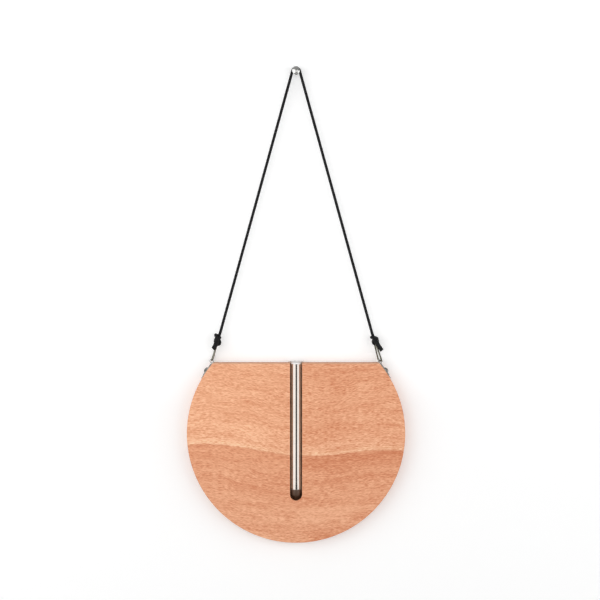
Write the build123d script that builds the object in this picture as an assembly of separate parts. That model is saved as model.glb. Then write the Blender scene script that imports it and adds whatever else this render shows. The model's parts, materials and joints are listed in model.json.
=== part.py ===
"""Hanging wall vase: a wooden disc with a flat top carries a steel flower tube in a groove.

A strap hanger with a loose triangular ring is screwed to each upper end of the rim. One cord
is tied to both rings and hangs over a domed pin in the wall.
Millimetres, +Z up. The wall is the plane Y = 0 and the front faces -Y.
The origin lies on the wall pin's axis, where the pin enters the wall.
"""
from build123d import *

import math
import os

# Wooden panel, a disc whose top is cut off flat
panel_radius = 130.0
panel_thickness = 18.0
flat_height = 84.5  # flat top edge above the disc's centre
panel_edge_round = 0.8
panel_corner_round = 1.2  # where the flat top edge meets the rim
hang_drop = 433.5  # from the wall pin's axis down to the disc's centre

# Flower tube with a round bottom and a flared lip that sits on the groove's upper edge
tube_diameter = 12.5
tube_wall = 0.75
tube_length = 161.3  # from the top edge down to the tube's lowest point
tube_recess = 0.25  # tube's front behind the panel's front face
flare_radius = 3.2  # of the lip's underside
flare_turn = 80.0  # how far the lip turns outwards, in degrees
lip_seat_clearance = 0.1

# Groove for the tube, open at the front and at the top
groove_side_clearance = 0.9
groove_floor_clearance = 0.65
groove_end_clearance = 2.9
groove_edge_round = 0.4

# Strap hangers: a strip folded round the ring's bar into an eye, held by one screw
strap_width = 6.5
strap_thickness = 0.7
screw_from_corner = 12.57  # along the rim, from the flat top's corner down to the screw
eye_past_corner = 0.3  # along the strap, from the flat top's corner up to the eye's centre
eye_corner_clearance = 0.1
strap_tail = 12.0  # from the screw down to the strip's rounded end
fold_tail = 7.0  # from the screw down to the end of the folded layer
eye_play = 0.1

# Triangular wire rings
ring_wire_diameter = 2.0
ring_length = 24.5  # from the bar's axis to the wire's centre at the apex
ring_base = 15.0  # across the base, where the wire's straight centre lines meet
ring_corner_radius = 2.5
ring_butt_gap = 0.2  # between the wire's two ends
ring_lean = 1.3  # of a ring, inwards from the line between its eye and the wall pin, in degrees
left_ring_skew = 0.0  # turn of a ring about its own length, in degrees
right_ring_skew = 12.0

# Strap screws, with a domed head and a cross recess
screw_diameter = 3.0
screw_length = 14.0  # in the wood
screw_tip_length = 4.0
screw_head_diameter = 7.0
screw_head_edge = 0.6
screw_head_dome = 1.9
recess_span = 3.2
recess_width = 0.8
recess_depth = 1.0
pilot_clearance = 0.05
strap_hole_clearance = 0.3

# Cord and its two knots
cord_diameter = 3.5
cord_wrap_clearance = 0.15  # between the cord and the wall pin's neck
cord_bend_slack = 1.2  # how much wider the stiff cord bends than the neck
cord_bend_share = 0.45  # of the short run over the neck, taken up by each of its two bends
cord_knot_gap = 0.3
knot_turns = 2
knot_turn_pitch = 3.3
knot_turn_radius = 2.7  # centre of the cord in a turn, from the knot's axis
knot_play = 0.15  # between the cord and the ring's wire
left_tail = (2.4, -10.4)  # end of the tail from the ring's apex: outwards, upwards
right_tail = (5.8, -12.8)
tail_spread = 1.5  # between the two strands of a tail
tail_forward = 8.5  # end of the tail in front of the ring's middle

# Wall pin, turned: a base against the wall, a thin neck for the cord and a domed head
pin_base_diameter = 6.2
pin_base_length = 3.6
pin_base_taper = 1.9
pin_neck_diameter = 3.0
pin_head_clearance = 2.5  # between the cord and the head's underside
pin_head_diameter = 9.3
pin_head_edge = 1.2
pin_head_dome = 1.0
pin_shank_diameter = 3.0
pin_shank_length = 25.0
pin_tip_length = 5.0

# Places that follow from the sizes above
tube_radius = tube_diameter / 2
cord_radius = cord_diameter / 2
wire_radius = ring_wire_diameter / 2
panel_front = -panel_thickness
panel_middle = -panel_thickness / 2
disc_z = -hang_drop
top_z = disc_z + flat_height
tube_y = panel_front + tube_recess + tube_radius
seat_turn = math.acos(1 - min(groove_side_clearance, groove_floor_clearance) / flare_radius)
flare_start = lip_seat_clearance - flare_radius * math.sin(seat_turn)  # from the flat top edge
groove_width = tube_diameter + 2 * groove_side_clearance
groove_depth = tube_recess + tube_diameter + groove_floor_clearance
groove_end_z = top_z - tube_length - groove_end_clearance
wrap_radius = pin_neck_diameter / 2 + cord_radius + cord_bend_slack
wrap_z = cord_wrap_clearance - cord_bend_slack
strap_stack = 2 * strap_thickness
largest_skew = math.radians(max(left_ring_skew, right_ring_skew))
eye_bore_radius = wire_radius / math.cos(largest_skew) + strap_width / 2 * math.tan(largest_skew) + eye_play
eye_radius = eye_bore_radius + strap_thickness
corner_turn = screw_from_corner / panel_radius
hanger_angle = math.asin(flat_height / panel_radius) - corner_turn
corner_drop = panel_radius * (1 - math.cos(corner_turn))  # of the corner, below the strap's underside
strap_reach = panel_radius * math.sin(corner_turn) + eye_past_corner
eye_height = math.sqrt((eye_radius + eye_corner_clearance) ** 2 - eye_past_corner**2) - corner_drop
ring_apex_radius = wire_radius + knot_play + cord_radius


def hanger_plane(side):
    """Plane on the rim at a screw: X up along the strap, Z out of the rim."""
    across = math.cos(hanger_angle)
    up = math.sin(hanger_angle)
    origin = (side * panel_radius * across, panel_middle, disc_z + panel_radius * up)
    return Plane(origin=origin, x_dir=(-side * up, 0, across), z_dir=(side * across, 0, up))


def direction(angle):
    """Unit vector in the plane of the wall, at an angle from +X."""
    return Vector(math.cos(angle), 0, math.sin(angle))


def taut_angle(side, point):
    """Angle of a taut cord that starts at a point and touches the wrap round the pin."""
    rise = wrap_z - point.Z
    return math.atan2(rise, -point.X) - side * math.asin(wrap_radius / math.hypot(point.X, rise))


def turned_plane(side, origin, along, skew):
    """Plane whose Y runs along a direction and whose X, towards the front, is turned outwards."""
    outwards = Vector(side * along.Z, 0, -side * along.X)
    turn = math.radians(skew)
    bar = Vector(0, -math.cos(turn), 0) + outwards * math.sin(turn)
    return Plane(origin=origin, x_dir=bar, z_dir=bar.cross(along))


def ring_plane(side, skew):
    """Plane of a ring: X along its bar towards the front, Y up along the ring, origin on the bar."""
    eye = hanger_plane(side).from_local_coords((strap_reach, 0, eye_height))
    along = direction(taut_angle(side, eye) + side * math.radians(ring_lean))
    slack = strap_width / 2 * (math.tan(largest_skew) - math.tan(math.radians(skew)))
    return turned_plane(side, eye + along * slack, along, skew)


def knot_plane(side, skew):
    """Plane of a knot: origin at the ring's apex, X along the wire there, Y along the taut cord."""
    apex = ring_plane(side, skew).from_local_coords((0, ring_length, 0))
    return turned_plane(side, apex, direction(taut_angle(side, apex)), skew)


def screw_hole(radius, depth, height):
    """Cylinder on a hanger's screw axis, from depth inside the rim to height outside it."""
    middle = (height - depth) / 2
    return Pos(0, 0, middle) * Cylinder(radius, depth + height)


def make_panel():
    """Disc with a flat top, rounded edges, the tube's groove and a pilot hole at each hanger."""
    above = Pos(0, top_z + panel_radius) * Rectangle(2 * panel_radius, 2 * panel_radius)
    outline = Pos(0, disc_z) * Circle(panel_radius) - above
    board = extrude(Plane.XZ * outline, panel_thickness)
    board = fillet(board.edges().filter_by(Axis.Y).sort_by(Axis.Z)[-2:], panel_corner_round)
    faces = board.faces().sort_by(Axis.Y)
    board = fillet(faces[0].edges() + faces[-1].edges(), panel_edge_round)

    round_end_z = groove_end_z + groove_width / 2
    run = top_z - round_end_z + groove_width
    slot = Pos(0, round_end_z + run / 2) * Rectangle(groove_width, run)
    slot += Pos(0, round_end_z) * Circle(groove_width / 2)
    board -= extrude(Plane.XZ.offset(panel_thickness) * slot, -groove_depth)
    front = board.faces().sort_by(Axis.Y)[0]
    inside = [edge for edge in front.edges() if abs(edge.center().X) < groove_width]
    board = fillet(inside, groove_edge_round)

    for side in (-1, 1):
        pilot = screw_hole(screw_diameter / 2 + pilot_clearance, screw_length, strap_stack)
        board -= hanger_plane(side) * pilot
    return board


def make_tube():
    """Thin tube with a round bottom and a flared lip, one wall's profile turned about the tube's axis."""
    bore_radius = tube_radius - tube_wall
    dome_z = tube_radius - tube_length
    flare_x = tube_radius + flare_radius
    turn = math.radians(flare_turn)

    def on_flare(radius, angle):
        return flare_x - radius * math.cos(angle), flare_start + radius * math.sin(angle)

    def on_dome(radius, angle):
        return radius * math.cos(angle), dome_z - radius * math.sin(angle)

    with BuildSketch() as wall:
        with BuildLine():
            ends = []
            for radius, bend in ((tube_radius, flare_radius), (bore_radius, flare_radius + tube_wall)):
                ThreePointArc((0, dome_z - radius), on_dome(radius, math.pi / 4), (radius, dome_z))
                Line((radius, dome_z), (radius, flare_start))
                ends.append(on_flare(bend, turn))
                ThreePointArc((radius, flare_start), on_flare(bend, turn / 2), ends[-1])
            middle = on_flare(flare_radius + tube_wall / 2, turn)
            crest = (middle[0] + tube_wall / 2 * math.sin(turn), middle[1] + tube_wall / 2 * math.cos(turn))
            ThreePointArc(ends[0], crest, ends[1])
            Line((0, dome_z - bore_radius), (0, dome_z - tube_radius))
        make_face()
    return Pos(0, tube_y, top_z) * revolve(Plane.XZ * wall.sketch, Axis.Z)


def make_strap(side):
    """Strip folded round an eye: side profile given its width, round end and screw hole."""
    base_length = strap_tail + strap_reach
    profile = Pos((strap_reach - strap_tail) / 2, strap_thickness / 2)
    profile *= Rectangle(base_length, strap_thickness)
    fold_length = fold_tail + strap_reach - eye_bore_radius
    fold = Pos(fold_length / 2 - fold_tail, strap_thickness * 1.5)
    profile += fold * Rectangle(fold_length, strap_thickness)
    profile += Pos(strap_reach, eye_height) * Circle(eye_radius)
    profile -= Pos(strap_reach, eye_height) * Circle(eye_bore_radius)
    strip = extrude(Plane.XZ * profile, strap_width / 2, both=True)

    end_radius = strap_width / 2
    plan_length = base_length + eye_radius - end_radius
    plan = Pos(plan_length / 2 - strap_tail + end_radius, 0) * Rectangle(plan_length, strap_width)
    plan += Pos(end_radius - strap_tail, 0) * Circle(end_radius)
    strip &= extrude(plan, 3 * eye_radius, both=True)
    strip -= screw_hole(screw_diameter / 2 + strap_hole_clearance, strap_stack, 2 * strap_stack)
    return hanger_plane(side) * strip


def make_screw(side):
    """Domed screw head with a cross recess, on a plain shank with a pointed end."""
    shank_radius = screw_diameter / 2
    head_radius = screw_head_diameter / 2
    rim_height = strap_stack + screw_head_edge
    crown = rim_height + screw_head_dome
    with BuildSketch(Plane.XZ) as half:
        with BuildLine():
            Polyline(
                (0, crown),
                (0, -screw_length),
                (shank_radius, screw_tip_length - screw_length),
                (shank_radius, strap_stack),
                (head_radius, strap_stack),
                (head_radius, rim_height),
            )
            dome_radius = (head_radius**2 + screw_head_dome**2) / (2 * screw_head_dome)
            RadiusArc((head_radius, rim_height), (0, crown), -dome_radius)
        make_face()
    screw = revolve(half.sketch, Axis.Z)
    for turn in (0, 90):
        slot = Box(recess_span, recess_width, 2 * recess_depth)
        screw -= Pos(0, 0, crown) * Rot(0, 0, turn) * slot
    return hanger_plane(side) * screw


def make_ring(side, skew):
    """Wire bent into a triangle whose ends butt in the middle of the bar, inside the eye."""
    half_base = ring_base / 2
    apex_centre = ring_length - ring_apex_radius
    steepness = math.atan2(apex_centre, half_base)
    steepness += math.asin(ring_apex_radius / math.hypot(half_base, apex_centre))
    half_gap = ring_butt_gap / 2
    path = FilletPolyline(
        (half_gap, 0),
        (half_base, 0),
        (0, half_base * math.tan(steepness)),
        (-half_base, 0),
        (-half_gap, 0),
        radius=[ring_corner_radius, ring_apex_radius, ring_corner_radius],
    )
    section = Plane(origin=path @ 0, z_dir=path % 0) * Circle(wire_radius)
    return ring_plane(side, skew) * sweep(section, path)


def knot_top():
    """Height of a knot above the ring's apex."""
    return wire_radius + knot_play + (knot_turns - 1) * knot_turn_pitch + cord_diameter


def make_knot(side, skew, tail):
    """Cord tied to a ring: turns round the cord's line, a bight round the wire and a double tail."""
    first = wire_radius + knot_play + cord_radius
    height = knot_top() - wire_radius - knot_play
    turns = Pos(knot_turn_radius / 2, wire_radius + knot_play + height / 2)
    turns *= Rectangle(knot_turn_radius, height)
    for i in range(knot_turns):
        turns += Pos(knot_turn_radius, first + i * knot_turn_pitch) * Circle(cord_radius)
    knot = revolve(turns, Axis.Y)

    bight_radius = wire_radius + knot_play + cord_radius
    with BuildLine(Plane.YZ) as bight:
        Line((first, -bight_radius), (0, -bight_radius))
        ThreePointArc((0, -bight_radius), (-bight_radius, 0), (0, bight_radius))
        Line((0, bight_radius), (first, bight_radius))
    section = Plane(origin=bight.line @ 0, z_dir=bight.line % 0) * Circle(cord_radius)
    knot += sweep(section, bight.line)

    outwards, upwards = tail
    start = Vector(knot_turn_radius + cord_radius, first, 0)
    along = Vector(tail_forward, upwards, -side * outwards) - start
    across = along.cross(Vector(1, 0, 0)).normalized() * (tail_spread / 2)
    for sign in (-1, 1):
        strand = Plane(origin=start + across * sign, z_dir=along)
        knot += extrude(strand * Circle(cord_radius), along.length)
    return knot_plane(side, skew) * knot


def cord_route():
    """Points of the cord: knot, the two corners round the top of the pin's neck, knot."""
    ends = []
    corners = []
    for side, skew in ((-1, left_ring_skew), (1, right_ring_skew)):
        knot = knot_plane(side, skew)
        pull = knot.y_dir
        ends.append(knot.origin + pull * (knot_top() + cord_knot_gap))
        corners.append(knot.origin + pull * ((wrap_z + wrap_radius - knot.origin.Z) / pull.Z))
    return [ends[0], corners[0], corners[1], ends[1]]


def make_cord():
    """Tube along the route: two taut runs and the wrap over the wall pin's neck."""
    route = cord_route()
    turn = math.radians((route[1] - route[0]).get_angle(route[2] - route[1]))
    top_run = (route[2] - route[1]).length
    bend_radius = cord_bend_share * top_run / math.tan(turn / 2)
    path = FilletPolyline(*route, radius=bend_radius)
    section = Plane(origin=path @ 0, z_dir=path % 0) * Circle(cord_radius)
    cord = sweep(section, path)
    expected = math.pi * cord_radius**2 * path.length
    print(f"cord: bend radius {bend_radius:.2f} mm twice, wrap radius {wrap_radius:.2f} mm")
    print(f"cord: length {path.length:.1f} mm, volume {cord.volume:.1f} of {expected:.1f} mm3")
    return cord


def make_pin():
    """Wall pin turned about Y: pointed shank in the wall, tapered base, neck and domed head."""
    shank_radius = pin_shank_diameter / 2
    base_radius = pin_base_diameter / 2
    neck_radius = pin_neck_diameter / 2
    head_radius = pin_head_diameter / 2
    neck_start = pin_base_length + pin_base_taper
    neck_end = cord_radius - panel_middle + pin_head_clearance
    edge = neck_end + pin_head_edge
    crown = edge + pin_head_dome
    with BuildSketch() as half:
        with BuildLine():
            Polyline(
                (0, -crown),
                (0, pin_shank_length + pin_tip_length),
                (shank_radius, pin_shank_length),
                (shank_radius, 0),
                (base_radius, 0),
                (base_radius, -pin_base_length),
                (neck_radius, -neck_start),
                (neck_radius, -neck_end),
                (head_radius, -neck_end),
                (head_radius, -edge),
            )
            dome_radius = (head_radius**2 + pin_head_dome**2) / (2 * pin_head_dome)
            RadiusArc((head_radius, -edge), (0, -crown), dome_radius)
        make_face()
    return revolve(half.sketch, Axis.Y)


def make_parts():
    """Every sub-part by its node's name."""
    parts = {
        "wood_panel": make_panel(),
        "flower_tube": make_tube(),
        "hanging_cord": make_cord(),
        "wall_pin": make_pin(),
    }
    sides = (
        ("left", -1, left_ring_skew, left_tail),
        ("right", 1, right_ring_skew, right_tail),
    )
    for name, side, skew, tail in sides:
        parts[f"{name}_hanger_strap"] = make_strap(side)
        parts[f"{name}_strap_screw"] = make_screw(side)
        parts[f"{name}_hanger_ring"] = make_ring(side, skew)
        parts[f"{name}_cord_knot"] = make_knot(side, skew, tail)
    return parts


os.makedirs("parts", exist_ok=True)
for node, solid in make_parts().items():
    export_step(solid, f"parts/{node}.step")
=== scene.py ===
"""Looks of the hanging wall vase, in metres and in the frame of its solids.

The wall is the plane Y = 0, the front faces -Y, and the origin lies on the wall pin's axis.
"""

import json
import math

import bpy
import numpy as np
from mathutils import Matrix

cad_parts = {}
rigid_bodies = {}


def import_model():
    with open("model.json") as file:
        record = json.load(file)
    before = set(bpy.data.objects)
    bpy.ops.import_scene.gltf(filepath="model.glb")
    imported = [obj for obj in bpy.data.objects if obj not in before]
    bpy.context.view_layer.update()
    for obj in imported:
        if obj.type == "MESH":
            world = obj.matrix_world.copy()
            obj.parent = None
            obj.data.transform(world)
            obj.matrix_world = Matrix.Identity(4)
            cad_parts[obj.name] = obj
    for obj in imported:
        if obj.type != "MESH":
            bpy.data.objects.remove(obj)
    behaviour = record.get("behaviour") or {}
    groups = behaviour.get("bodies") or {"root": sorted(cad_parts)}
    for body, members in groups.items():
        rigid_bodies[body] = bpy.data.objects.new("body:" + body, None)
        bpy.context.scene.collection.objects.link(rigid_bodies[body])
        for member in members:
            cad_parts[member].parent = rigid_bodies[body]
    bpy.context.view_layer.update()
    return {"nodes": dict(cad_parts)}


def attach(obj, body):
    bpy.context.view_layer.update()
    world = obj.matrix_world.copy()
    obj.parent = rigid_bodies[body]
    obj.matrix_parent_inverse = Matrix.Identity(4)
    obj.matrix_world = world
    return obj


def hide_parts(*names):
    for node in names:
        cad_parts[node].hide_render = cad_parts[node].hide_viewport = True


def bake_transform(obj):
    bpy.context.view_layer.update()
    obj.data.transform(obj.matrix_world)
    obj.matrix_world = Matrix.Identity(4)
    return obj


for leftover in list(bpy.data.objects):
    bpy.data.objects.remove(leftover)

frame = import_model()

MM = 0.001
WHITE = (1.0, 1.0, 1.0, 1.0)

# Camera 1.5 m in front of the panel, level, where the picture spans 714 mm of the panel's front face
CAMERA_PLACE = (0.0047, -1.518, -0.2744)
CAMERA_LENS_MM = 75.63
CAMERA_SENSOR_MM = 36.0
CAMERA_NEAREST = 0.01

# Panel, in millimetres: its wood is worked out from the front face and the disc's centre
PANEL_RADIUS_MM = 130.0
PANEL_THICKNESS_MM = 18.0
PANEL_DROP_MM = 433.5

# Wood tones by the share of the span, whose middle is the wavy line between dark wood and pale wood
TONE_SPAN_MM = 200.0
WOOD_TONES = (
    (0.05, (0.814, 0.375, 0.212)),
    (0.40, (0.798, 0.349, 0.190)),
    (0.475, (0.783, 0.331, 0.176)),
    (0.4985, (0.748, 0.306, 0.160)),
    (0.5015, (0.960, 0.535, 0.322)),
    (0.511, (0.950, 0.520, 0.308)),
    (0.53, (0.915, 0.462, 0.268)),
    (0.60, (0.890, 0.428, 0.241)),
    (0.95, (0.878, 0.416, 0.232)),
)
# Streaks below the wavy line: depth, half width, start and end along the grain in mm, and strength
HEART_STREAKS = (
    (9.0, 12.0, 4.0, 160.0, -1.0),
    (31.0, 8.0, 6.0, 95.0, -0.6),
    (55.0, 5.0, 0.0, 55.0, -0.7),
    (45.0, 8.0, -90.0, -6.0, -0.45),
    (71.0, 12.0, 4.0, 70.0, 1.2),
)
# How far the grain, and the slow change from left to right, shift red, green and blue
GRAIN_TINT = (0.062, 0.132, 0.168)
LEAN_TINT = (0.085, 0.155, 0.180)

# Where painted light on metal begins: a white highlight on the tube's lip, a dark reflection on its round
# end, black shade behind the pin's head
LIP_FOOT_Z = -0.3508
TUBE_END_Z = -0.5003
PIN_HEAD_BACK_Y = -0.0132

# Braided cord
CORD_DIAMETER = 0.0035
CORD_SIDES = 48
KNOT_SIDES = 40
BRAID_STRANDS = 8
BRAID_PITCH_MM = 1.9
BRAID_RELIEF = 0.16 * MM
BRAID_STEP = 0.3 * MM
CUT_END_ROUNDING = 0.5 * MM
ROUTE_ORDER = 3
KNOT_ORDER = 4
LINE_STEPS = 200

# Route of the cord from each knot over the pin's neck, on top of which both halves meet
PIN_TOP = (0.0, -0.009, 0.0034)
LEFT_ROUTE = (
    (-0.091264, -0.009, -0.315199),
    (-0.005191, -0.009, -0.003134),
    (-0.003389, -0.009, 0.003400),
    PIN_TOP,
)
RIGHT_ROUTE = (
    (0.091463, -0.009, -0.315860),
    (0.005191, -0.009, -0.003133),
    (0.003389, -0.009, 0.003400),
    PIN_TOP,
)
# The route starts this far above its ring's apex
ROUTE_ABOVE_APEX = 8.25 * MM

# Knots in mm from the ring's apex: outwards from the vase, up along the cord, forwards
LEFT_TIE = (
    (0.0, 15.0, 0.0), (0.0, 11.5, 0.0), (0.0, 8.4, 0.0), (0.5, 5.8, 0.0), (0.5, 3.2, 0.0),
    (-1.4, 0.9, 0.0), (-3.3, -1.5, 0.0), (-2.6, -4.1, 0.1), (0.0, -4.9, 0.2), (2.5, -3.7, 0.3),
    (3.4, -1.0, 0.5), (3.4, 1.4, 1.6), (1.6, 3.0, 3.6), (-0.7, 3.5, 3.2), (-1.5, 3.9, 0.5),
    (-0.9, 4.6, -2.7), (1.8, 5.6, -3.6), (4.3, 6.2, -1.8), (5.1, 6.2, 1.2), (3.6, 5.0, 4.0),
    (2.0, 2.4, 5.4), (1.6, -0.8, 5.8), (2.0, -4.2, 5.6), (2.6, -7.4, 5.6), (3.4, -10.6, 5.8),
)
LEFT_SPARE_END = (
    (0.8, 3.0, 3.2), (0.0, 0.2, 4.8), (-0.2, -3.0, 6.2),
    (0.2, -6.2, 7.0), (0.8, -9.0, 7.3), (1.5, -11.6, 7.5),
)
RIGHT_TIE = (
    (0.0, 15.0, 0.0), (0.0, 11.5, 0.0), (0.0, 8.5, 0.0), (0.4, 5.6, 0.0), (0.2, 2.8, 0.0),
    (-1.5, 0.6, 0.0), (-1.9, -2.2, 0.0), (0.0, -3.8, 0.2), (2.6, -3.4, 0.4), (4.2, -1.2, 0.4),
    (4.0, 1.2, 1.2), (2.4, 2.8, 3.4), (-0.2, 4.4, 3.8), (-2.2, 5.2, 1.8), (-2.3, 5.6, -1.2),
    (-0.4, 5.4, -3.6), (2.2, 4.2, -3.4), (4.1, 2.8, -1.4), (4.2, 2.0, 1.6), (2.9, 1.0, 4.4),
    (3.0, -2.0, 5.6), (3.9, -5.6, 5.4), (5.0, -9.2, 5.6), (6.4, -12.6, 6.0),
)
RIGHT_SPARE_END = (
    (0.4, 3.2, 3.4), (0.6, 0.6, 5.0), (1.2, -2.6, 6.4),
    (2.3, -6.2, 7.2), (3.6, -9.8, 7.4), (5.1, -13.2, 7.4),
)

# Studio wall: half its width, its place just behind the plane Y = 0, and its middle behind the vase
WALL_HALF = 9.0
WALL_Y = 0.0004
WALL_MIDDLE = (0.0, 0.0, -0.3)
# Heights between which the wall's glow rises above the panel, and distances between which it rises far off
HIGH_GLOW_FROM_Z, HIGH_GLOW_TO_Z = -0.41, -0.335
FAR_GLOW_FROM, FAR_GLOW_TO = 0.55, 1.6


def photo_camera():
    """Level camera that looks along +Y at the front of the vase."""
    data = bpy.data.cameras.new("photo_camera")
    data.lens = CAMERA_LENS_MM
    data.sensor_width = CAMERA_SENSOR_MM
    data.clip_start = CAMERA_NEAREST
    camera = bpy.data.objects.new("photo_camera", data)
    camera.location = CAMERA_PLACE
    camera.rotation_euler = (math.pi / 2, 0.0, 0.0)
    bpy.context.scene.collection.objects.link(camera)
    bpy.context.scene.camera = camera


def skin(name, grid, uv, material):
    """Mesh over a grid of points [rows, columns, 3]: quads between neighbours, the last column joined to
    the first, and each end row closed to a point in its middle. A closing point takes half the place of its
    row in the UV map, so that the braid breaks up there as cut yarns do.
    """
    rows, columns = grid.shape[:2]
    index = np.arange(rows * columns).reshape(rows, columns)
    beside = np.roll(index, -1, axis=1)
    quads = np.stack([index[:-1], beside[:-1], beside[1:], index[1:]], axis=-1).reshape(-1, 4)
    quad_uv = np.stack([uv[:-1, :-1], uv[:-1, 1:], uv[1:, 1:], uv[1:, :-1]], axis=2)
    first, last = rows * columns, rows * columns + 1
    start = np.stack([np.full(columns, first), beside[0], index[0]], axis=-1)
    end = np.stack([np.full(columns, last), index[-1], beside[-1]], axis=-1)
    half = np.full((columns, 2), 0.5)
    start_uv = np.stack([half * uv[0, :1], uv[0, 1:], uv[0, :-1]], axis=1)
    end_uv = np.stack([half * uv[-1, :1], uv[-1, :-1], uv[-1, 1:]], axis=1)
    points = np.concatenate([grid.reshape(-1, 3), grid[0].mean(0)[None], grid[-1].mean(0)[None]])
    loops = np.concatenate([quads.ravel(), start.ravel(), end.ravel()])
    sizes = np.concatenate([np.full(len(quads), 4), np.full(2 * columns, 3)])
    starts = np.concatenate([[0], np.cumsum(sizes)[:-1]])
    loop_uv = np.concatenate([part.reshape(-1, 2) for part in (quad_uv, start_uv, end_uv)])

    mesh = bpy.data.meshes.new(name)
    mesh.vertices.add(len(points))
    mesh.vertices.foreach_set("co", points.astype(np.float32).ravel())
    mesh.loops.add(len(loops))
    mesh.loops.foreach_set("vertex_index", loops.astype(np.int32))
    mesh.polygons.add(len(sizes))
    mesh.polygons.foreach_set("loop_start", starts.astype(np.int32))
    mesh.update(calc_edges=True)
    layer = mesh.uv_layers.new(name="lay")
    layer.data.foreach_set("uv", loop_uv.astype(np.float32).ravel())
    mesh.shade_smooth()
    mesh.materials.append(material)
    piece = bpy.data.objects.new(name, mesh)
    bpy.context.scene.collection.objects.link(piece)
    return piece


def smooth_line(points, order):
    """Points of a NURBS line over given control points, which starts and ends on the outer two."""
    data = bpy.data.curves.new("route", "CURVE")
    data.dimensions = "3D"
    data.resolution_u = LINE_STEPS
    spline = data.splines.new("NURBS")
    spline.points.add(len(points) - 1)
    weighted = np.concatenate([np.asarray(points, float), np.ones((len(points), 1))], axis=1)
    spline.points.foreach_set("co", weighted.astype(np.float32).ravel())
    spline.order_u = order
    spline.use_endpoint_u = True
    holder = bpy.data.objects.new("route", data)
    bpy.context.scene.collection.objects.link(holder)
    bpy.context.view_layer.update()
    line = bpy.data.meshes.new_from_object(holder)
    found = np.empty(len(line.vertices) * 3, np.float32)
    line.vertices.foreach_get("co", found)
    bpy.data.objects.remove(holder)
    bpy.data.curves.remove(data)
    bpy.data.meshes.remove(line)
    return found.reshape(-1, 3).astype(float)


def even_steps(line, step):
    """Places along a line at equal distances, and each one's distance from the start."""
    far = np.concatenate([[0.0], np.cumsum(np.linalg.norm(np.diff(line, axis=0), axis=1))])
    count = int(round(far[-1] / step))
    along = np.linspace(0.0, far[-1], count + 1)
    path = np.stack([np.interp(along, far, line[:, i]) for i in range(3)], axis=1)
    return path, along


def carried_axes(path):
    """Two axes across a line that turn with it and never about it: each pair is the last one, reflected
    in the plane halfway to the next point and again in the plane that lines up the tangents.
    """
    ahead = np.gradient(path, axis=0, edge_order=2)
    ahead /= np.linalg.norm(ahead, axis=1, keepdims=True)
    side = np.cross(ahead[0], (0.0, 1.0, 0.0))
    sides = [side / np.linalg.norm(side)]
    straight = 1e-18
    for here, there, tangent, after in zip(path[:-1], path[1:], ahead[:-1], ahead[1:]):
        gap = there - here
        share = 2.0 / (gap @ gap)
        carried = sides[-1] - share * (gap @ sides[-1]) * gap
        turned = tangent - share * (gap @ tangent) * gap
        lean = after - turned
        carried = carried - 2.0 / max(lean @ lean, straight) * (lean @ carried) * lean
        carried -= (carried @ after) * after
        sides.append(carried / np.linalg.norm(carried))
    sides = np.array(sides)
    return sides, np.cross(ahead, sides)


def braid_relief(along_mm, around):
    """Height, 0 to 1, of a round diamond braid: two families of helical strands cross, one of them is on
    top in each cell between them, and it stands up in its middle and sinks to its edges and its two ends.
    """
    end_height = 0.6
    right = around * BRAID_STRANDS + along_mm / BRAID_PITCH_MM
    left = around * BRAID_STRANDS - along_mm / BRAID_PITCH_MM
    over = (np.floor(right) + np.floor(left)) % 2 < 1
    across = np.where(over, right % 1, left % 1)
    length = np.where(over, left % 1, right % 1)
    return np.sqrt(np.sin(np.pi * across)) * (end_height + (1.0 - end_height) * np.sin(np.pi * length))


def braided_tube(name, line, sides, material, cut_end=0.0):
    """Round cord carried along a line: a circle of the cord's radius with the braid's relief, which starts
    in the middle of a strand and is drawn in like a quarter circle over the length of a cut end.
    """
    path, along = even_steps(line, BRAID_STEP)
    across, up = carried_axes(path)
    around = np.linspace(0.0, 1.0, sides + 1)
    laid_mm = along / MM + BRAID_PITCH_MM / 2
    far, turn = np.meshgrid(laid_mm, around[:-1], indexing="ij")
    radius = CORD_DIAMETER / 2 - BRAID_RELIEF + BRAID_RELIEF * braid_relief(far, turn)
    if cut_end:
        end_face = 0.2
        into_end = (1.0 - (along[-1] - along) / cut_end).clip(0.0)
        radius *= np.sqrt(1.0 - into_end ** 2).clip(end_face)[:, None]
    angle = turn * 2 * np.pi
    ring = np.cos(angle)[..., None] * across[:, None] + np.sin(angle)[..., None] * up[:, None]
    grid = path[:, None] + radius[..., None] * ring
    uv = np.stack(np.meshgrid(laid_mm, around, indexing="ij"), axis=-1)
    return skin(name, grid, uv, material), path


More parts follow.
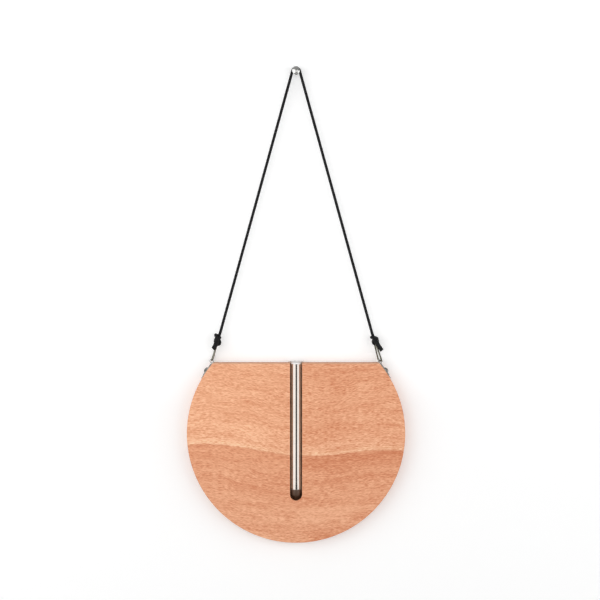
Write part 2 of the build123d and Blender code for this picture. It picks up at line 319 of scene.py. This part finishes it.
class Wiring:
    """Short words for placing nodes in a tree and joining them."""

    def __init__(self, tree):
        self.tree = tree
        tree.nodes.clear()

    def feed(self, socket, value):
        if isinstance(value, bpy.types.NodeSocket):
            self.tree.links.new(value, socket)
        else:
            socket.default_value = value

    def add(self, kind, inputs=None, **settings):
        node = self.tree.nodes.new(kind)
        for name, value in settings.items():
            setattr(node, name, value)
        for name, value in (inputs or {}).items():
            self.feed(node.inputs[name], value)
        return node

    def calc(self, operation, *values):
        node = self.add("ShaderNodeMath", operation=operation)
        for socket, value in zip(node.inputs, values):
            self.feed(socket, value)
        return node.outputs[0]

    def times_plus(self, value, factor, offset):
        return self.calc("MULTIPLY_ADD", value, factor, offset)

    def step(self, value, low, high):
        inputs = {"Value": value, "From Min": low, "From Max": high}
        return self.add("ShaderNodeMapRange", inputs, interpolation_type="SMOOTHSTEP").outputs["Result"]

    def point(self, x, y, z):
        return self.add("ShaderNodeCombineXYZ", {"X": x, "Y": y, "Z": z}).outputs[0]

    def parts(self, vector):
        return self.add("ShaderNodeSeparateXYZ", {"Vector": vector}).outputs

    def scaled(self, vector, scale, location=(0.0, 0.0, 0.0)):
        inputs = {"Vector": vector, "Scale": scale, "Location": location}
        return self.add("ShaderNodeMapping", inputs).outputs[0]

    def noise(self, vector, scale=1.0, detail=2.0, roughness=0.5):
        inputs = {"Vector": vector, "Scale": scale, "Detail": detail, "Roughness": roughness}
        return self.add("ShaderNodeTexNoise", inputs).outputs["Fac"]

    def mix(self, share, first, second, blend="MIX"):
        node = self.add("ShaderNodeMix", data_type="RGBA", blend_type=blend)
        self.feed(node.inputs[0], share)
        self.feed(node.inputs[6], first)
        self.feed(node.inputs[7], second)
        return node.outputs[2]

    def ramp(self, value, stops):
        node = self.add("ShaderNodeValToRGB", {"Fac": value})
        band = node.color_ramp
        while len(band.elements) < len(stops):
            band.elements.new(1.0)
        for element, (place, colour) in zip(band.elements, stops):
            element.position = place
            element.color = (*colour, 1.0)
        return node.outputs["Color"]

    def bump(self, height, strength, distance):
        inputs = {"Height": height, "Strength": strength, "Distance": distance}
        return self.add("ShaderNodeBump", inputs).outputs["Normal"]


def new_material(name):
    """Empty material, its wiring, its Principled shader and its object coordinates."""
    material = bpy.data.materials.new(name)
    material.use_nodes = True
    wires = Wiring(material.node_tree)
    shader = wires.add("ShaderNodeBsdfPrincipled")
    wires.add("ShaderNodeOutputMaterial", {"Surface": shader.outputs[0]})
    place = wires.add("ShaderNodeTexCoord").outputs["Object"]
    return material, wires, shader, place


def above_wavy_line(w, board):
    """Height in mm above the line that parts dark wood from pale wood: a cosine along the grain that falls
    to the right, ever faster past the middle, wanders by noise and sinks through the board's thickness.
    """
    wave_length, wave_shift, wave_height = 226.0, 104.0, 6.0
    fall, middle, droop = -0.018, -20.0, -0.00024
    wander_height, sink = 3.0, 0.35
    x, y, z = w.parts(board)
    turn = 2 * math.pi / wave_length
    wave = w.calc("COSINE", w.times_plus(x, turn, turn * wave_shift))
    slope = w.times_plus(x, fall, middle)
    past_middle = w.calc("POWER", w.calc("MAXIMUM", x, 0.0), 2.0)
    line = w.times_plus(past_middle, droop, w.times_plus(wave, wave_height, slope))
    wander = w.noise(w.scaled(board, (0.045, 0.03, 0.008)))
    line = w.times_plus(wander, wander_height, w.calc("ADD", line, -wander_height / 2))
    return w.times_plus(y, sink, w.calc("SUBTRACT", z, line))


def heart_streaks(w, x, z, ragged):
    """Darker and paler streaks at set depths below the wavy line, each faded in and out along the grain,
    and a dark corner below a line at the lower right.
    """
    core, fade_in, fade_out = 0.4, 14.0, 18.0
    heart = 0.0
    for depth, half, start, end, strength in HEART_STREAKS:
        off = w.calc("ABSOLUTE", w.calc("ADD", ragged, depth))
        body = w.calc("SUBTRACT", 1.0, w.step(off, core * half, half))
        begun = w.step(x, start - fade_in, start + fade_in)
        ended = w.step(x, end - fade_out, end + fade_out)
        length = w.calc("SUBTRACT", begun, ended)
        heart = w.times_plus(w.calc("MULTIPLY", body, length), strength, heart)
    corner_rise, corner_foot, corner_strength = 0.13, -117.0, -1.2
    corner_edge, corner_start = (-0.6, 0.8), (2.0, 26.0)
    under_line = w.calc("SUBTRACT", w.times_plus(x, corner_rise, corner_foot), z)
    corner = w.calc("MULTIPLY", w.step(under_line, *corner_edge), w.step(x, *corner_start))
    return w.times_plus(corner, corner_strength, heart)


def end_grain_share(w, x, z):
    """How much of the board's rim shows end grain: all of it at the sides, none at the bottom."""
    from_rim, to_rim = 1.0, 0.2
    square = w.calc("ADD", w.calc("MULTIPLY", x, x), w.calc("MULTIPLY", z, z))
    from_middle = w.calc("SQRT", square)
    rim = w.step(from_middle, PANEL_RADIUS_MM - from_rim, PANEL_RADIUS_MM - to_rim)
    sideways = w.calc("DIVIDE", w.calc("MULTIPLY", x, x), square)
    return w.calc("MULTIPLY", rim, sideways)


def painted_wood_shading(w, x, y, z, tone):
    """The wood's tone with painted light and shade: painted shade on the arris at the flat top, and in the
    groove painted light on its walls and painted shade at its lower end.
    """
    painted_arris_shade, painted_groove_light, painted_end_shade = (0.62, 0.37, 0.245, 1.0), (0.98, 0.74, 0.56, 1.0), (0.24, 0.10, 0.045, 1.0)
    arris_foot, arris_top, arris_share = 82.2, 83.6, 0.6
    groove_edge, groove_wall, groove_floor, groove_half, groove_share = 0.4, 4.0, 14.5, 8.0, 0.85
    groove_end, end_shade_foot, end_shade_top, end_shade_gone = -81.0, -80.5, -74.0, -64.0

    # Painted shade: a grey band along the arris at the flat top.
    arris = w.calc("MULTIPLY", w.step(z, arris_foot, arris_top), arris_share)
    tone = w.mix(arris, tone, painted_arris_shade)
    # Painted light: the groove's walls are painted paler against the shade inside them.
    deep = w.calc("MULTIPLY", w.step(y, groove_edge, groove_wall), w.calc("LESS_THAN", y, groove_floor))
    narrow = w.calc("LESS_THAN", w.calc("ABSOLUTE", x), groove_half)
    in_groove = w.calc("MULTIPLY", deep, narrow)
    tone = w.mix(w.calc("MULTIPLY", in_groove, groove_share), tone, painted_groove_light)
    # Painted shade: the lower end of the groove is painted dark brown, fading out upwards.
    begun, ended = w.step(z, groove_end, end_shade_foot), w.step(z, end_shade_top, end_shade_gone)
    groove_end_shade = w.calc("MULTIPLY", in_groove, w.calc("SUBTRACT", begun, ended))
    return w.mix(groove_end_shade, tone, painted_end_shade)


def panel_wood():
    """Reddish tan hardwood, its grain along X and worked out through the whole board.

    Tones and layers follow the wavy line that parts the pale upper wood from the darker lower wood. Bands,
    lines, streaks, fibres and pores are noise drawn out along the grain.
    """
    swirl_height, ragged_height, pore_rise = 20.0, 12.0, (0.12, 0.24)
    darkest, palest = -3.2, 2.6
    left_to_right, parting = (-75.0, 35.0), (-1.0, 1.0)
    lean_at_left, lean_fall, upper_lean_fall = 0.5, -0.3, -0.7
    satin, satin_change, gloss = 0.57, 0.22, 0.3
    fibre_height, pore_depth, relief_strength = 0.5, -0.6, 0.25

    material, w, shader, place = new_material("panel_wood")
    board = w.scaled(place, (1 / MM, 1 / MM, 1 / MM), (0.0, PANEL_THICKNESS_MM, PANEL_DROP_MM))
    x, y, z = w.parts(board)
    above = above_wavy_line(w, board)
    swirl = w.noise(w.scaled(board, (0.011, 0.02, 0.026)))
    layer = w.times_plus(swirl, swirl_height, above)

    def drawn_out(along, across, seed, detail, roughness=0.5):
        """Noise with its own size along the grain and across it, about zero."""
        spot = w.point(
            w.times_plus(x, along, seed),
            w.times_plus(y, across, seed),
            w.times_plus(layer, across, 2.0 * seed),
        )
        return w.calc("SUBTRACT", w.noise(spot, detail=detail, roughness=roughness), 0.5)

    bands = drawn_out(0.010, 0.11, seed=3.0, detail=3.0)
    lines = drawn_out(0.030, 0.55, seed=11.0, detail=3.0, roughness=0.6)
    streaks = drawn_out(0.15, 1.15, seed=7.0, detail=1.0)
    fibres = drawn_out(0.27, 1.90, seed=5.0, detail=1.0)
    pores = w.step(drawn_out(0.15, 1.0, seed=31.0, detail=1.0), *pore_rise)
    ragged = w.times_plus(lines, ragged_height, w.times_plus(bands, ragged_height, above))

    layers = (
        (lines, 8.0),
        (bands, 5.0),
        (streaks, 11.0),
        (fibres, 12.0),
        (pores, -1.6),
        (end_grain_share(w, x, z), -1.1),
        (heart_streaks(w, x, z, ragged), 1.2),
    )
    grain = 0.0
    for mark, weight in layers:
        grain = w.times_plus(mark, weight, grain)
    grain = w.calc("MINIMUM", w.calc("MAXIMUM", grain, darkest), palest)

    to_right = w.step(x, *left_to_right)
    upper_right = w.calc("MULTIPLY", to_right, w.step(above, *parting))
    lean = w.times_plus(upper_right, upper_lean_fall, w.times_plus(to_right, lean_fall, lean_at_left))
    tints = [
        w.times_plus(lean, by_lean, w.times_plus(grain, by_grain, 1.0))
        for by_lean, by_grain in zip(LEAN_TINT, GRAIN_TINT)
    ]
    tone = w.ramp(w.times_plus(above, 1.0 / TONE_SPAN_MM, 0.5), WOOD_TONES)
    tone = w.mix(1.0, tone, w.point(*tints), "MULTIPLY")
    w.feed(shader.inputs["Base Color"], painted_wood_shading(w, x, y, z, tone))

    w.feed(shader.inputs["Roughness"], w.times_plus(lines, satin_change, satin))
    w.feed(shader.inputs["Specular IOR Level"], gloss)
    relief = w.times_plus(pores, pore_depth, w.times_plus(fibres, fibre_height, lines))
    w.feed(shader.inputs["Normal"], w.bump(relief, relief_strength, 0.2 * MM))
    return material


def handling_marks():
    """Group: fine scuffs and a cloudy film on metal, from noise at two sizes."""
    group = bpy.data.node_groups.new("handling_marks", "ShaderNodeTree")
    face = group.interface
    face.new_socket(name="Place", in_out="INPUT", socket_type="NodeSocketVector")
    face.new_socket(name="Grain", in_out="INPUT", socket_type="NodeSocketVector")
    face.new_socket(name="Film", in_out="OUTPUT", socket_type="NodeSocketFloat")
    face.new_socket(name="Scuffs", in_out="OUTPUT", socket_type="NodeSocketFloat")
    w = Wiring(group)
    given = w.add("NodeGroupInput")
    film = w.noise(given.outputs["Place"], scale=330.0, detail=3.0)
    scuffs = w.noise(given.outputs["Grain"], scale=1.0, detail=4.0, roughness=0.65)
    w.add("NodeGroupOutput", {"Film": film, "Scuffs": scuffs})
    return group


def metal(name, marks, bright, dull, roughness, spread, grain, depth, painted_shade_behind=None, lip_above=None,
          painted_reflection_below=None):
    """Bare or plated metal: a bright colour with a duller film over parts of it and marks along its grain.
    Where these are given, it has painted shade, near black and duller, behind a depth; a less metallic,
    duller brown below a height, which is a painted reflection of the shaded wood round it; and above a
    height a satin white lip that is a painted highlight, a little worn and with painted grey shade at its
    top edge.
    """
    film_rise, mark_strength = (0.38, 0.68), 0.12
    material, w, shader, place = new_material(name)
    group = w.add("ShaderNodeGroup", {"Place": place, "Grain": w.scaled(place, grain)}, node_tree=marks)
    film = w.step(group.outputs["Film"], *film_rise)
    surface = w.mix(film, (*bright, 1.0), (*dull, 1.0))
    rough = w.times_plus(group.outputs["Scuffs"], spread, roughness - spread / 2)
    rough = w.times_plus(film, spread / 2, rough)
    metallic = 1.0
    into_wall, height = w.parts(place)[1:]
    if painted_shade_behind is not None:
        # Painted shade: behind the depth, the neck and base under the pin's head are painted near black and
        # duller.
        shade_black, blur, duller = (0.040, 0.038, 0.032, 1.0), 0.1 * MM, 0.30
        behind = w.step(into_wall, painted_shade_behind - blur, painted_shade_behind + blur)
        surface = w.mix(behind, surface, shade_black)
        rough = w.times_plus(behind, duller, rough)
    if painted_reflection_below is not None:
        # Painted reflection: below the height the round end is painted dark brown, less metallic and
        # duller, for the shaded wood it mirrors.
        reflected_wood_brown, blur, duller, less_metal = (0.118, 0.066, 0.043, 1.0), 0.6 * MM, 0.30, -0.75
        over = w.step(height, painted_reflection_below - blur, painted_reflection_below + blur)
        below = w.calc("SUBTRACT", 1.0, over)
        surface = w.mix(below, surface, reflected_wood_brown)
        rough = w.times_plus(below, duller, rough)
        metallic = w.times_plus(below, less_metal, metallic)
    if lip_above is not None:
        painted_lip_top_shade, blur, duller, less_metal = (0.88, 0.88, 0.87, 1.0), 0.2 * MM, 0.34, -0.98
        top_shade_from, top_shade_to = lip_above + 1.4 * MM, lip_above + 2.0 * MM
        worn_from, worn_to, worn_share = lip_above + 1.5 * MM, lip_above + 2.7 * MM, -0.35
        # Painted highlight: the steel lip is painted white, with less metal and more roughness, so that it
        # looks bright.
        lip_highlight = w.step(height, lip_above - blur, lip_above + blur)
        surface = w.mix(lip_highlight, surface, WHITE)
        # Painted shade: the top edge of the lip is painted pale grey.
        surface = w.mix(w.step(height, top_shade_from, top_shade_to), surface, painted_lip_top_shade)
        satin = w.times_plus(w.step(height, worn_from, worn_to), worn_share, lip_highlight)
        rough = w.times_plus(satin, duller, rough)
        metallic = w.times_plus(satin, less_metal, metallic)
    w.feed(shader.inputs["Base Color"], surface)
    w.feed(shader.inputs["Metallic"], metallic)
    w.feed(shader.inputs["Roughness"], rough)
    w.feed(shader.inputs["Normal"], w.bump(group.outputs["Scuffs"], mark_strength, depth))
    return material


def waxed_cord():
    """Black braided cord with a little wax: yarns run along the strand that is on top in each cell of the
    braid, and the hollows between strands are dull.
    """
    yarns_in_strand, yarn_height = 5.0, 0.12
    fuzz_size, fuzz_height, fuzz_rise = 900.0, 0.5, (0.42, 0.7)
    hollow_black, crown_black = (0.004, 0.004, 0.005, 1.0), (0.016, 0.016, 0.019, 1.0)
    dull, waxed, gloss, relief_strength = 0.70, -0.12, 0.28, 0.5
    # Even, so it keeps a cell's parity, and large enough to leave no cell below zero
    above_any_cell = 4000.0

    material, w, shader, place = new_material("waxed_cord")
    along, around = w.parts(w.add("ShaderNodeUVMap", uv_map="lay").outputs[0])[:2]
    turns = w.calc("MULTIPLY", around, float(BRAID_STRANDS))
    right = w.times_plus(along, 1.0 / BRAID_PITCH_MM, turns)
    left = w.times_plus(along, -1.0 / BRAID_PITCH_MM, turns)
    cell = w.calc("ADD", w.calc("FLOOR", right), w.calc("FLOOR", left))
    over = w.calc("LESS_THAN", w.calc("MODULO", w.calc("ADD", cell, above_any_cell), 2.0), 0.5)
    across_right = w.calc("FRACT", right)
    across_left = w.calc("FRACT", left)
    across = w.times_plus(over, w.calc("SUBTRACT", across_right, across_left), across_left)
    yarns = w.calc("SINE", w.calc("MULTIPLY", across, 2 * math.pi * yarns_in_strand))
    crown = w.calc("SINE", w.calc("MULTIPLY", across, math.pi))
    fuzz = w.noise(w.scaled(place, (fuzz_size, fuzz_size, fuzz_size)), detail=3.0, roughness=0.6)
    height = w.times_plus(yarns, yarn_height, w.times_plus(fuzz, fuzz_height, crown))
    pale = w.calc("MULTIPLY", crown, w.step(fuzz, *fuzz_rise))
    w.feed(shader.inputs["Base Color"], w.mix(pale, hollow_black, crown_black))
    w.feed(shader.inputs["Roughness"], w.times_plus(crown, waxed, dull))
    w.feed(shader.inputs["Specular IOR Level"], gloss)
    w.feed(shader.inputs["Normal"], w.bump(height, relief_strength, 0.1 * MM))
    return material


def tied_knot(name, apex, axes, tie, spare_end, material):
    """Cord tied to a ring, one tube along listed points: down inside the ring's apex, under its wire,
    up the other side, round the standing cord and down in front to a cut end, with a second one beside it.
    """
    tubes = []
    for tube_name, points in ((name, tie), (name + "_end", spare_end)):
        line = smooth_line(apex + np.asarray(points) * MM @ axes, KNOT_ORDER)
        tubes.append(braided_tube(tube_name, line, KNOT_SIDES, material, CUT_END_ROUNDING)[0])
    bpy.ops.object.select_all(action="DESELECT")
    for tube in tubes:
        tube.select_set(True)
    bpy.context.view_layer.objects.active = tubes[0]
    bpy.ops.object.join()
    return tubes[0]


def hang_cord(material):
    """Both halves of the taut cord, each from the top of the pin's neck to its knot, and the two knots."""
    halves = (
        ("left", -1.0, LEFT_ROUTE, LEFT_TIE, LEFT_SPARE_END),
        ("right", 1.0, RIGHT_ROUTE, RIGHT_TIE, RIGHT_SPARE_END),
    )
    for side, outer, route, tie, spare_end in halves:
        low = np.asarray(route[0])
        pull = np.asarray(route[1]) - low
        pull /= np.linalg.norm(pull)
        outward = (outer * pull[2], 0.0, -outer * pull[0])
        axes = np.array([outward, pull, (0.0, -1.0, 0.0)])
        knot = tied_knot(f"{side}_knot", low - ROUTE_ABOVE_APEX * pull, axes, tie, spare_end, material)
        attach(knot, f"{side}_ring")
        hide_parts(f"{side}_cord_knot")

        line = smooth_line(route[::-1], ROUTE_ORDER)
        half, path = braided_tube(f"{side}_cord", line, CORD_SIDES, material)
        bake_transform(half)
        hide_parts("hanging_cord")


def studio_sheet(name, corners, colour, low_glow, high_glow, far_glow):
    """Plain pale sheet that seems clear from behind: matt paint with a glow, stronger above the panel and
    far from the vase, that only the camera and reflections see.
    """
    mesh = bpy.data.meshes.new(name)
    mesh.from_pydata(corners, [], [(0, 1, 2, 3)])
    material = bpy.data.materials.new(name)
    material.use_nodes = True
    w = Wiring(material.node_tree)
    place = w.add("ShaderNodeTexCoord").outputs["Object"]
    high = w.step(w.parts(place)[2], HIGH_GLOW_FROM_Z, HIGH_GLOW_TO_Z)
    away = w.add("ShaderNodeVectorMath", {0: place, 1: WALL_MIDDLE}, operation="DISTANCE")
    far = w.step(away.outputs["Value"], FAR_GLOW_FROM, FAR_GLOW_TO)
    strength = w.times_plus(high, high_glow - low_glow, low_glow)
    strength = w.times_plus(far, far_glow - low_glow, strength)
    rays = w.add("ShaderNodeLightPath").outputs
    seen = w.calc("MAXIMUM", rays["Is Camera Ray"], rays["Is Glossy Ray"])
    paint = w.add("ShaderNodeBsdfDiffuse", {"Color": colour})
    glow = w.add("ShaderNodeEmission", {"Color": WHITE, "Strength": w.calc("MULTIPLY", seen, strength)})
    front = w.add("ShaderNodeAddShader", {0: paint.outputs[0], 1: glow.outputs[0]})
    clear = w.add("ShaderNodeBsdfTransparent")
    behind = w.add("ShaderNodeNewGeometry").outputs["Backfacing"]
    both = w.add("ShaderNodeMixShader", {0: behind, 1: front.outputs[0], 2: clear.outputs[0]})
    w.add("ShaderNodeOutputMaterial", {"Surface": both.outputs[0]})
    mesh.materials.append(material)
    sheet = bpy.data.objects.new(name, mesh)
    bpy.context.scene.collection.objects.link(sheet)
    sheet.visible_shadow = False
    sheet.visible_diffuse = False


def softbox(name, bearing, height, distance, width, tall, radiance):
    """Rectangular lamp that faces the vase from a bearing off the front, in degrees, with an even face."""
    data = bpy.data.lights.new(name, "AREA")
    data.shape = "RECTANGLE"
    data.size = width
    data.size_y = tall
    data.energy = radiance * math.pi * width * tall
    lamp = bpy.data.objects.new(name, data)
    turn = math.radians(bearing)
    lamp.location = (distance * math.sin(turn), -distance * math.cos(turn), height)
    lamp.rotation_euler = (math.pi / 2, 0.0, turn)
    lamp.visible_camera = False
    bpy.context.scene.collection.objects.link(lamp)


def surround():
    """Even light from all round, which the camera sees almost white and reflections see dark, with the
    ceiling and the floor at the sides paler than the rest.
    """
    even, seen, mirrored_dark, mirrored_ceiling = 0.53, 0.98, 0.08, 0.22
    floor_middle, floor_sides = 0.05, 0.55
    ceiling_rise, sides_rise = (0.15, 0.55), (0.15, 0.65)
    floor_rise, floor_fall = (-0.95, -0.80), (-0.30, -0.22)
    world = bpy.data.worlds.new("studio_surround")
    bpy.context.scene.world = world
    world.use_nodes = True
    w = Wiring(world.node_tree)
    rays = w.add("ShaderNodeLightPath").outputs
    sideways, _, upwards = w.parts(w.add("ShaderNodeTexCoord").outputs["Generated"])
    ceiling = w.step(upwards, *ceiling_rise)
    floor = w.calc("SUBTRACT", w.step(upwards, *floor_rise), w.step(upwards, *floor_fall))
    to_sides = w.step(w.calc("ABSOLUTE", sideways), *sides_rise)
    floor = w.calc("MULTIPLY", floor, w.times_plus(to_sides, floor_sides, floor_middle))
    mirrored = w.calc("ADD", floor, w.times_plus(ceiling, mirrored_ceiling, mirrored_dark))
    strength = w.times_plus(rays["Is Camera Ray"], seen - even, even)
    strength = w.times_plus(rays["Is Glossy Ray"], w.calc("SUBTRACT", mirrored, even), strength)
    light = w.add("ShaderNodeBackground", {"Color": WHITE, "Strength": strength})
    w.add("ShaderNodeOutputWorld", {"Surface": light.outputs[0]})


def studio():
    """Pale wall, two large lamps at the sides, a small one in front, a weak one behind and the surround."""
    wall = [(x * WALL_HALF, WALL_Y, z * WALL_HALF) for x, z in ((-1, -1), (1, -1), (1, 1), (-1, 1))]
    paint = (0.98, 0.98, 0.98, 1.0)
    studio_sheet("studio_wall", wall, paint, low_glow=0.105, high_glow=0.19, far_glow=0.60)
    softbox("left_softbox", bearing=-41, height=-0.14, distance=1.5, width=1.77, tall=1.22, radiance=1.35)
    softbox("right_softbox", bearing=56, height=-0.34, distance=1.5, width=1.96, tall=0.82, radiance=1.27)
    softbox("front_softbox", bearing=7, height=-0.11, distance=1.6, width=0.92, tall=0.58, radiance=0.92)
    softbox("back_softbox", bearing=180, height=0.1, distance=1.8, width=1.5, tall=1.2, radiance=0.5)
    surround()
    bpy.context.scene.view_settings.view_transform = "Standard"


def dress_solids():
    """Materials of the pieces whose solids are shown."""
    marks = handling_marks()
    steel = metal(
        "tube_steel", marks, bright=(0.67, 0.61, 0.56), dull=(0.63, 0.575, 0.525),
        roughness=0.055, spread=0.03, grain=(60, 60, 900), depth=0.004 * MM,
        lip_above=LIP_FOOT_Z, painted_reflection_below=TUBE_END_Z,
    )
    wire = metal(
        "ring_wire", marks, bright=(0.25, 0.245, 0.20), dull=(0.18, 0.18, 0.145),
        roughness=0.12, spread=0.06, grain=(900, 900, 250), depth=0.03 * MM,
    )
    strip = metal(
        "strap_zinc", marks, bright=(0.86, 0.86, 0.83), dull=(0.38, 0.38, 0.35),
        roughness=0.15, spread=0.08, grain=(700, 700, 200), depth=0.03 * MM,
    )
    screw = metal(
        "screw_zinc", marks, bright=(0.34, 0.34, 0.32), dull=(0.12, 0.12, 0.11),
        roughness=0.05, spread=0.04, grain=(900, 900, 900), depth=0.03 * MM,
    )
    pin = metal(
        "pin_steel", marks, bright=(0.84, 0.84, 0.82), dull=(0.77, 0.77, 0.75),
        roughness=0.22, spread=0.06, grain=(500, 40, 500), depth=0.02 * MM, painted_shade_behind=PIN_HEAD_BACK_Y,
    )
    finishes = {"wood_panel": panel_wood(), "flower_tube": steel, "wall_pin": pin}
    for side in ("left", "right"):
        finishes[f"{side}_hanger_ring"] = wire
        finishes[f"{side}_hanger_strap"] = strip
        finishes[f"{side}_strap_screw"] = screw
    for node, material in finishes.items():
        for place in frame["nodes"][node].material_slots:
            place.material = material


photo_camera()
hang_cord(waxed_cord())
dress_solids()
studio()
